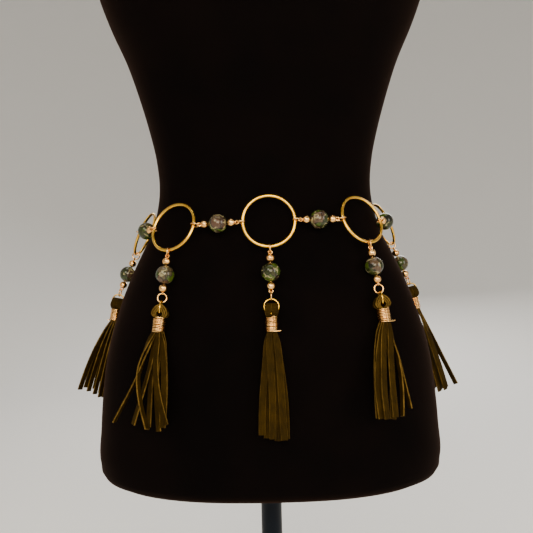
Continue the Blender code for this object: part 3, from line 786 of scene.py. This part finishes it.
# %% [markdown]
# ## Tassel rings and wire bindings
# A light ring carries the folded laces, and nine turns of soft wire bind them below it. A stack of rings
# would look machine made, and a straight sleeve flat. The turns are a helix with uneven spacing and swell,
# as a hand winds it, and the cut end of the wire stands out from the last turn.

# %% Tassel rings and bindings
TASSEL_RING = 6.4 * MM
WRAP_TOP = -8.9 * MM
WRAP_BOTTOM = -21.5 * MM
WRAP_RADIUS = 5.25 * MM
WRAP_WIRE = 0.56 * MM
WRAP_SIDES = 10
TURNS = 9
TURN_STEPS = 22
# How far a turn's pitch and its swell (mm) may go from even
PITCH_RANGE = (0.75, 1.25)
SWELL_RANGE = (-0.16, 0.18)
# The wire's cut end, as steps from its last turn (mm)
CUT_END = ((1.8, -0.15, -0.1), (4.2, -0.3, -0.15), (7.6, 0.1, 0.25))
SMALL_RING_DETAIL = (72, 14)
BINDING_SEED = 70


def binding_path(seed):
    """A hand-wound helix of wire, from its first turn to its cut end."""
    random = np.random.default_rng(seed)
    pitch = random.uniform(*PITCH_RANGE, TURNS)
    turn_ends = np.concatenate(([0.0], np.cumsum(pitch) / pitch.sum()))
    phase = np.linspace(0, TURNS, TURNS * TURN_STEPS + 1)
    share = np.interp(phase, np.arange(TURNS + 1), turn_ends)
    swell = np.interp(phase, np.arange(TURNS + 1), random.uniform(*SWELL_RANGE, TURNS + 1)) * MM
    heading = 2 * pi * phase - pi / 2
    radius = WRAP_RADIUS + swell
    height = WRAP_TOP + (WRAP_BOTTOM - WRAP_TOP) * share
    helix = np.column_stack((radius * np.cos(heading), radius * np.sin(heading), height))
    return np.vstack((helix, helix[-1] + np.array(CUT_END) * MM))


for seed, where in enumerate(POSITIONS):
    tassel = places[where]["tassel"]
    body = f"drop_{where}"
    normal = Vector((1, 0, 0)) if where in TURNED_DROPS else Vector((0, 1, 0))
    ring = ring_skin(TASSEL_RING, TASSEL_WIRE, swivel(where) @ normal, (0, 0, 0), *SMALL_RING_DETAIL)
    Skins().add(*ring).place(
        f"small_ring_{where}", [ring_gold], tassel, body, "gold_wire", [f"tassel_ring_{where}"]
    )
    wire = sweep(binding_path(BINDING_SEED + seed), (0, 0, 1), circle(WRAP_WIRE, WRAP_SIDES))
    Skins().add(*wire).place(
        f"binding_{where}", [bead_gold], tassel, body, "bead_gold", [f"tassel_wire_{where}"]
    )
print("binding turns:", TURNS)

# %% [markdown]
# ## Laces
# Laces are folded over the small ring in two stacks of three, and their ends hang from the binding. Six
# laces would have twelve ends, but eight fill the tassel as the photograph shows it. A lace is a flat strip
# with crisp cut edges. A cloth simulation could let them fall, but it wouldn't put each tip where it is
# wanted. So each end gets its own way out, bow, turn and length, and is then pushed off the form and off
# the lace behind it, as real laces rest on each other.

# %% Laces
LACE_WIDTH = 5.7 * MM
LACE_THICKNESS = 1.3 * MM
LACE_EDGE = 0.18 * MM
STRAND_TOP = -20.5 * MM
STRAND_STEPS = 26
STRAND_CLEARANCE = 0.7 * MM
STRAND_PUSH = 0.2 * MM
LAYER_PITCH = 1.6 * MM
TIGHT = 0.62
# The step where a strand is free of the binding, and how often its fall is evened out
FREE_STEP = 4
SETTLE_PASSES = 12
# A strand's slight waver: how far it goes (mm), its bends, and how each strand starts apart from the last
WAVER = 0.5
WAVER_BENDS = 5
WAVER_SHIFT = 2.4

# Where each strand leaves the binding, along the belt and outward, in the binding and below it (mm)
STRAND_ROOTS = (
    (-2.0, -2.6, -2.95, -3.2),
    (2.0, -2.6, 2.95, -3.2),
    (-2.0, -0.9, -3.0, -1.1),
    (2.0, -0.9, 3.0, -1.1),
    (-2.0, 0.9, -3.0, 1.1),
    (2.0, 0.9, 3.0, 1.1),
    (-2.0, 2.6, -2.95, 3.2),
    (2.0, 2.6, 2.95, 3.2),
)

# Where each strand ends: along the belt, outward, its sideways bow (mm), its turn (degrees) and
# its length from the small ring's middle (mm)
STRAND_ENDS = {
    "neat": (
        (-9.5, -3.4, 0.5, 4, 110),
        (8.5, -3.6, -0.5, -5, 111),
        (-6.0, -0.6, 0.8, 3, 112),
        (10.2, -0.8, 1.0, -3, 113),
        (-10.4, 2.2, -0.6, 6, 109),
        (3.0, 2.4, 0.4, 2, 114),
        (-1.4, 5.2, 0.3, -3, 112),
        (8.2, 5.6, 0.4, -6, 113),
    ),
    "loose": (
        (0.5, -1.0, -2.0, 10, 104),
        (14.0, -3.4, 0.5, -8, 101),
        (-12.0, 5.0, 4.0, 20, 103),
        (12.8, -0.4, -5.0, 10, 106),
        (-30.5, 9.0, 7.0, 72, 103),
        (19.0, 2.6, 2.0, -10, 102),
        (8.8, 10.0, -14.5, 78, 104),
        (25.0, 5.8, -9.5, 5, 99),
    ),
    "combed": (
        (-26.0, -2.6, -1.0, 5, 102),
        (14.0, -2.4, 1.0, -70, 100),
        (-22.0, 0.4, 1.5, 4, 103),
        (-12.5, 0.6, 3.5, 10, 105),
        (-28.5, 3.2, -3.0, 3, 102),
        (-4.0, 3.4, 6.0, -72, 104),
        (-24.5, 6.2, -1.5, 4, 103),
        (-15.0, 6.4, 0.8, 8, 103),
    ),
    "fanned": (
        (-7.0, 0.0, 0.0, 30, 107),
        (8.5, 0.2, 1.0, 24, 103),
        (-4.6, 4.0, 0.6, 34, 102),
        (4.8, 7.0, -0.5, 28, 102),
        (-9.0, 12.0, -0.6, 40, 100),
        (1.2, 15.0, 0.6, 30, 101),
        (-3.8, 20.0, -0.4, 42, 99),
        (7.8, 22.5, 0.8, 32, 99),
    ),
    "bowed": (
        (-8.0, 1.0, -1.0, 46, 114),
        (6.6, 0.5, 0.6, 40, 114),
        (-3.2, 3.6, 1.2, 52, 116),
        (9.4, 3.6, 0.8, 44, 115),
        (-8.8, 8.0, -0.8, 56, 114),
        (2.8, 8.4, 0.6, 48, 116),
        (-2.8, 12.0, -0.4, 46, 114),
        (5.6, 26.0, 9.0, -30, 116),
    ),
}
TASSEL_STYLE = {
    "front": "neat",
    "left_1": "loose",
    "right_1": "combed",
    "left_2": "fanned",
    "right_2": "bowed",
    "left_3": "neat",
    "right_3": "combed",
}


def lace_outline(width):
    """A flat strip's outline with tiny bevels. Its sides 0, 1, 3, 4, 5 and 7 are the cut edges."""
    half, deep, edge = width / 2, LACE_THICKNESS / 2, LACE_EDGE
    return (
        (half, -deep + edge),
        (half, deep - edge),
        (half - edge, deep),
        (edge - half, deep),
        (-half, deep - edge),
        (-half, edge - deep),
        (edge - half, -deep),
        (half - edge, -deep),
    )


CUT_SIDES = {0: 1, 1: 1, 3: 1, 4: 1, 5: 1, 7: 1, "end": 1}


def strand_path(root, end, bow, length, sway):
    """A strand's middle line in its tassel's frame, where Y runs towards the form."""
    tight_u, tight_v, free_u, free_v = root
    path = []
    for i in range(STRAND_STEPS + 1):
        s = i / STRAND_STEPS
        opened = min(1.0, s * 7)
        opened = opened * opened * (3 - 2 * opened)
        start_u = tight_u + (free_u - tight_u) * opened
        start_v = tight_v + (free_v - tight_v) * opened
        spread = s * (2 - s) * 0.45 + s * 0.55
        bent = bow + WAVER * sin(WAVER_BENDS * s + sway)
        u = start_u + (end[0] - free_u) * spread + bent * sin(pi * s)
        v = start_v + (end[1] - free_v) * spread
        path.append((u * MM, -v * MM, STRAND_TOP - (length * MM + STRAND_TOP) * s))
    return np.array(path)


def clearance(point):
    """How far a world point lies outside the form."""
    place, normal, _, _ = form_tree.find_nearest(point)
    return (point - place).dot(normal)


def strand_widths(turn):
    """The way of a strand's width at each step. The turn is all made in its upper part."""
    angle = radians(turn) * np.clip(np.linspace(0, 2.5, STRAND_STEPS + 1), 0, 1)
    return np.column_stack((np.cos(angle), -np.sin(angle), 0 * angle))


def settle(paths, turns, tassel):
    """Pushes strand points outward until they clear the form and the strand behind, then evens them."""
    needed = LACE_THICKNESS / 2 + STRAND_CLEARANCE
    for first in (0, 1):
        behind = None
        for path, turn in zip(paths[first::2], turns[first::2]):
            edges = strand_widths(turn) * LACE_WIDTH / 2
            for i in range(FREE_STEP, len(path)):
                while min(clearance(tassel @ Vector(path[i] + way * edges[i])) for way in (-1, 1)) < needed:
                    path[i][1] -= STRAND_PUSH
                if behind is not None and abs(path[i][0] - behind[i][0]) < LACE_WIDTH:
                    path[i][1] = min(path[i][1], behind[i][1] - LAYER_PITCH)
            out = path[FREE_STEP - 1 :, 1]
            for _ in range(SETTLE_PASSES):
                out[1:-1] = np.minimum(out[1:-1], (out[:-2] + out[2:]) / 2)
            behind = path
    return paths


# The layers of a fold: how far it bulges, its top, its half depth in the binding (mm) and its share of the
# lace's width there
FOLD_LAYERS = ((3.2, -0.6, 0.7, 0.62), (4.85, 0.9, 2.1, 0.6), (6.6, 2.3, 3.4, 0.42))
FOLD_STEPS = 6
# How far below the small ring's middle a fold starts to narrow, and over what height (mm)
NARROW_FROM = 4.5
NARROW_OVER = 5.5


def fold_skins(skins, where):
    """Laces folded over the small ring, in two stacks side by side, one layer over another."""
    spin = swivel(where)
    if where in TURNED_DROPS:
        spin = spin @ Matrix.Rotation(pi / 2, 3, "Z")
    for side in (-1, 1):
        for bulge, top, neck, tight in FOLD_LAYERS:
            half = [
                (neck, 1.95, -16.0),
                (neck, 2.0, -9.7),
                (bulge * 0.88, 2.8, -7.3),
                (bulge, 3.1, -5.0),
                (bulge * 0.72, 2.95, top - 3.0),
                (bulge * 0.34, 2.8, top - 0.7),
                (0.0, 2.75, top),
            ]
            points = half + [(-q, u, z) for q, u, z in half[-2::-1]]
            points = [tuple(spin @ Vector((side * u, q, z)) * MM) for q, u, z in points]
            path = smooth_path(points, FOLD_STEPS)
            bound = np.clip((-path[:, 2] / MM - NARROW_FROM) / NARROW_OVER, 0, 1)
            widths = 1.0 - (1 - tight) * bound
            across = tuple(spin @ Vector((1, 0, 0)))
            skins.add(*sweep(path, across, lace_outline(LACE_WIDTH), widths=widths), strips=CUT_SIDES)


for seed, where in enumerate(POSITIONS):
    tassel = places[where]["tassel"]
    skins = Skins()
    fold_skins(skins, where)
    ends = STRAND_ENDS[TASSEL_STYLE[where]]
    turns = [end[3] for end in ends]
    paths = [
        strand_path(root, end[:2], end[2], end[4], seed + WAVER_SHIFT * i)
        for i, (root, end) in enumerate(zip(STRAND_ROOTS, ends))
    ]
    for path, turn in zip(settle(paths, turns, tassel), turns):
        widths = TIGHT + (1 - TIGHT) * np.clip(np.linspace(0, 8, len(path)), 0, 1)
        skin = sweep(path, strand_widths(turn), lace_outline(LACE_WIDTH), widths=widths)
        skins.add(*skin, strips=CUT_SIDES)
    finishes = [leather, cut_edge]
    body = f"drop_{where}"
    skins.place(f"laces_{where}", finishes, tassel, body, "olive_leather", [f"tassel_{where}"], 30)
print("strands:", len(POSITIONS) * len(STRAND_ROOTS))

# %% [markdown]
# ## Clasp and extender chain
# The photo hides the fastening, so it gets the usual one: a lobster clasp hooked into a short chain of
# oval links. Such links could be copies of one along a curve, but each is swept in its place, so the chain
# always fits between the clasp and the last ring. The clasp's lever is closed and the links lie across
# each other.

# %% Clasp and extender chain
CLASP_EYE = 2.3 * MM
CLASP_HALF_LENGTH = 7.2 * MM
CLASP_HALF_WIDTH = 4.1 * MM
CLASP_WIRE = 1.4 * MM
CLASP_MIDDLE = 2 * CLASP_EYE + CLASP_HALF_LENGTH + CLASP_WIRE
CLASP_GAP = 0.8 * MM
# The collar between the clasp's eye and its loop, as radius and height from the eye's middle (mm)
COLLAR = ((1.5, -1.6), (2.1, -2.1), (2.1, -3.4), (1.6, -3.9))
COLLAR_SIDES = 20
# The lever's thumb tab: out from the loop's side, and up from the loop's middle (mm)
LEVER = ((-0.41, 5.2), (1.5, 3.4), (1.9, 0.8))
LEVER_WIRE = 0.8 * MM
LEVER_STEPS = 8
CHAIN_LINKS = 7
CHAIN_HALF_WIDTH = 2.8 * MM
CHAIN_WIRE = 0.7 * MM
CHAIN_SLACK = 0.35 * MM
LINK_OVERLAP = 2 * CHAIN_WIRE + 0.05 * MM
WIRE_SIDES = 10
CLASP_SIDES = 14


def oval_path(half_length, half_width, middle, axis, sides=40):
    """A drawn-out loop along Z, in the plane across X or Y."""
    points = []
    for i in range(sides):
        a = 2 * pi * (i + 0.5) / sides
        wide = half_width * cos(a)
        stretch = half_length - half_width
        z = middle + half_width * sin(a) + (stretch if sin(a) > 0 else -stretch)
        points.append((0.0, wide, z) if axis == "X" else (wide, 0.0, z))
    return points


back = links["back"]
left_ring = places["left_3"]["ring"]
start = back["start"] + back["run"] * PIN_LENGTH
end = left_ring.translation - left_ring.to_3x3().col[0] * places["left_3"]["radius"]
run = (end - start).normalized()
side = back["downs"][0]
side = (side - side.dot(run) * run).normalized()
closure = axes_frame(side, (-run).cross(side).normalized(), -run, start + run * CLASP_GAP)

clasp = Skins()
clasp.add(*ring_skin(CLASP_EYE, CHAIN_WIRE, (0, 1, 0), (0, 0, -CLASP_EYE)))
loop = oval_path(CLASP_HALF_LENGTH, CLASP_HALF_WIDTH, -CLASP_MIDDLE, "Y", 60)
clasp.add(*sweep(loop, (0, 1, 0), circle(CLASP_WIRE, CLASP_SIDES), closed=True))
clasp.add(*turned([(r * MM, z * MM - CLASP_EYE) for r, z in COLLAR], COLLAR_SIDES))
lever = [(CLASP_HALF_WIDTH + x * MM, 0, z * MM - CLASP_MIDDLE) for x, z in LEVER]
clasp.add(*sweep(smooth_path(lever, LEVER_STEPS), (0, 1, 0), circle(LEVER_WIRE, WIRE_SIDES)))
clasp.place("clasp", [ring_gold], closure, ROOT, "gold_wire", ["lobster_clasp"])

held = -(CLASP_MIDDLE + CLASP_HALF_LENGTH)
length = (end - (closure @ Vector((0, 0, held)))).length
first = CHAIN_WIRE + CLASP_WIRE + CHAIN_SLACK
last = CHAIN_WIRE + RING_WIRE + CHAIN_SLACK
half = (length + first + last + LINK_OVERLAP * (CHAIN_LINKS - 1)) / (2 * CHAIN_LINKS)
chain = Skins()
for i in range(CHAIN_LINKS):
    middle = held - (half - first) - i * (2 * half - LINK_OVERLAP)
    axis = "XY"[i % 2]
    normal = (1, 0, 0) if axis == "X" else (0, 1, 0)
    loop = oval_path(half, CHAIN_HALF_WIDTH, middle, axis)
    chain.add(*sweep(loop, normal, circle(CHAIN_WIRE, WIRE_SIDES), closed=True))
chain.place("chain", [ring_gold], closure, ROOT, "gold_wire", ["extender_chain"])
print("chain length mm:", round(length / MM, 1))

# %% [markdown]
# ## Stage and light
# A plain pale floor that curves up into a round wall gives every view the same quiet background. A flat
# floor and a wall would meet in a line behind the form. Large soft lights from the front and above give
# the gold long highlights, and dark gaps between them keep it rich.

# %% Stage and light
FLOOR_RADIUS = 1.5
WALL_RADIUS = 3.6
WALL_HEIGHT = 3.4
BEND_STEPS = 32
STAGE_SIDES = 96
WORLD_COLOUR = (1.0, 0.97, 0.93, 1)
WORLD_STRENGTH = 0.32
paper = Finish("Pale paper", {"Base Color": (0.80, 0.79, 0.77, 1), "Roughness": 0.9})
sweep_rows = [(0.001, 0.0), (FLOOR_RADIUS, 0.0)]
bend_radius = WALL_RADIUS - FLOOR_RADIUS
for a in np.linspace(0, pi / 2, BEND_STEPS)[1:]:
    sweep_rows.append((FLOOR_RADIUS + bend_radius * sin(a), bend_radius * (1 - cos(a))))
sweep_rows.append((WALL_RADIUS, WALL_HEIGHT))
stage_points, stage_faces = turned(sweep_rows, STAGE_SIDES)
stage_mesh = bpy.data.meshes.new("floor")
stage_mesh.from_pydata(stage_points, [], [face for side, face in stage_faces if side != "end"])
stage_mesh.materials.append(paper.material)
stage_mesh.shade_smooth()
floor = show(bpy.data.objects.new("floor", stage_mesh))
floor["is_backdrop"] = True

world = bpy.data.worlds.new("studio")
world.use_nodes = True
backdrop = world.node_tree.nodes["Background"]
backdrop.inputs["Color"].default_value = WORLD_COLOUR
backdrop.inputs["Strength"].default_value = WORLD_STRENGTH
bpy.context.scene.world = world

# Each light: name, place, what it points at, width, height (m), power (W), colour
LIGHTS = (
    ("front", (0.05, -1.05, 0.72), (0, 0, 0.42), 0.6, 0.45, 10, (1.0, 0.86, 0.58)),
    ("key", (-0.9, -1.7, 1.6), (0, 0, 0.45), 0.8, 0.8, 16, (1.0, 0.92, 0.80)),
    ("fill", (1.5, -1.3, 0.9), (0, 0, 0.45), 0.6, 1.2, 16, (1.0, 0.93, 0.82)),
    ("top", (0.0, 0.2, 2.4), (0, 0, 0.4), 1.4, 1.4, 30, (1.0, 0.98, 0.95)),
    ("back", (0.6, 2.0, 1.3), (0, 0, 0.45), 1.0, 1.0, 24, (1.0, 0.98, 0.95)),
)
for name, place, aim, width, height, power, colour in LIGHTS:
    data = bpy.data.lights.new(name, "AREA")
    data.shape = "RECTANGLE"
    data.size = width
    data.size_y = height
    data.energy = power
    data.color = colour
    light = show(bpy.data.objects.new(name, data))
    light.location = place
    light.visible_camera = False
    light.rotation_euler = (Vector(aim) - Vector(place)).to_track_quat("-Z", "Y").to_euler()
print("lights:", len(LIGHTS))

# %% [markdown]
# ## Sizes
# The box of the finished piece is set beside the box of the solids, and the change between them is printed.

# %% Sizes and finish
boxes = {"cad": [list(corner) for corner in cad_box], "visual": [list(corner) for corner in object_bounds()]}
change = np.array(boxes["visual"]) - np.array(boxes["cad"])
print("box change mm:", (change / MM).round(1).tolist())
